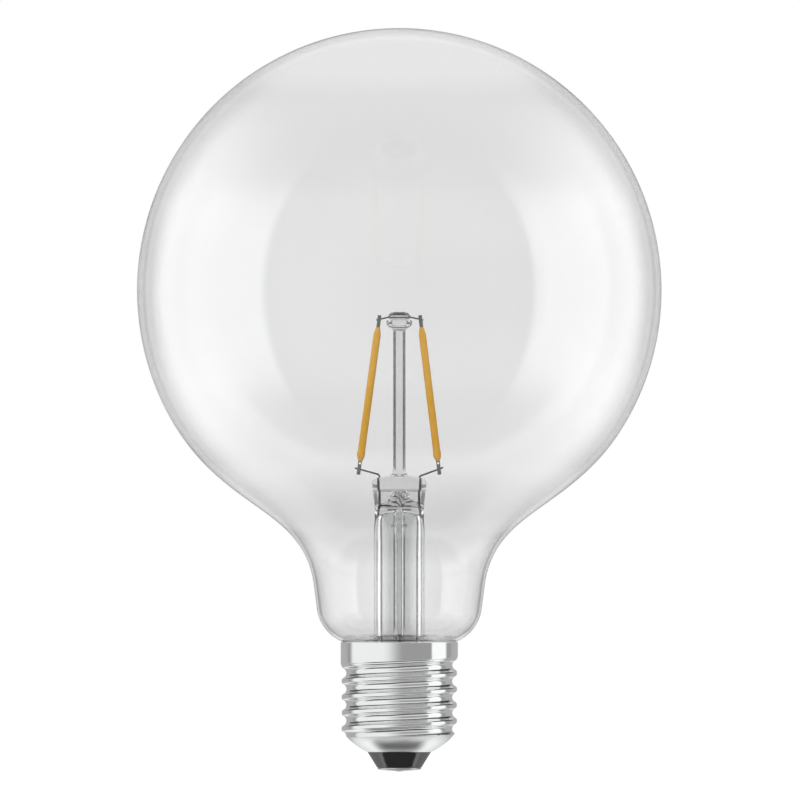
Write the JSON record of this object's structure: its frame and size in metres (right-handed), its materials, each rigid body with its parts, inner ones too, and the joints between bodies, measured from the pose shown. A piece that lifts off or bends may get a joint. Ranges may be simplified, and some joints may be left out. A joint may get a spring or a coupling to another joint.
{
  "type": "led globe bulb",
  "caption": "Clear glass globe lamp with upright light-emitting strips on a glass stem, standing on a right-hand E27 screw cap with a black insulator and a centre contact.",
  "frame": {"origin": "tip of the centre contact, on the lamp's axis", "axes": "+Z along the lamp's axis from the contact to the top of the globe; the strips stand in the XZ plane and are seen from -Y"},
  "size_m": [0.12, 0.12, 0.17],
  "materials": {
    "clear_glass": "clear blown soda-lime glass",
    "support_wire": "dull nickel wire",
    "strip_tab": "stamped nickel-plated strip",
    "phosphor_coat": "yellow phosphor in silicone",
    "strip_ceramic": "white ceramic",
    "light_chip": "pale chip on a clear crystal base",
    "cap_metal": "bright rolled sheet",
    "cap_cement": "dry cement",
    "black_glass": "glossy black pressed glass",
    "contact_metal": "nickel-plated brass",
    "solder": "bright solder",
    "tinned_lead": "tinned copper",
    "resistor_body": "lacquered ceramic",
    "driver_board": "green solder mask",
    "chip_package": "black moulding",
    "choke_ferrite": "grey-black ferrite",
    "choke_copper": "enamelled copper",
    "capacitor_can": "shrink-sleeved can"
  },
  "bodies": {
    "root": {"glass_globe": "clear_glass", "stem_flare": "clear_glass", "exhaust_tube": "clear_glass", "stem_column": "clear_glass", "jumper_wire": "support_wire", "left_lead_wire": "support_wire", "right_lead_wire": "support_wire", "left_strip_foot_tab": "strip_tab", "left_strip_head_tab": "strip_tab", "right_strip_foot_tab": "strip_tab", "right_strip_head_tab": "strip_tab", "left_strip_coat": "phosphor_coat", "right_strip_coat": "phosphor_coat", "left_strip_ceramic": "strip_ceramic", "right_strip_ceramic": "strip_ceramic", "left_strip_chips": "light_chip", "right_strip_chips": "light_chip", "cap_shell": "cap_metal", "cap_cement": "cap_cement", "cap_insulator": "black_glass", "contact_plate": "contact_metal", "contact_solder": "solder", "live_wire": "tinned_lead", "resistor_lead": "tinned_lead", "neutral_wire": "tinned_lead", "capacitor_leads": "tinned_lead", "fusible_resistor": "resistor_body", "driver_board": "driver_board", "bridge_rectifier": "chip_package", "driver_chip": "chip_package", "choke_core": "choke_ferrite", "choke_winding": "choke_copper", "smoothing_capacitor": "capacitor_can"}
  },
  "joints": []
}
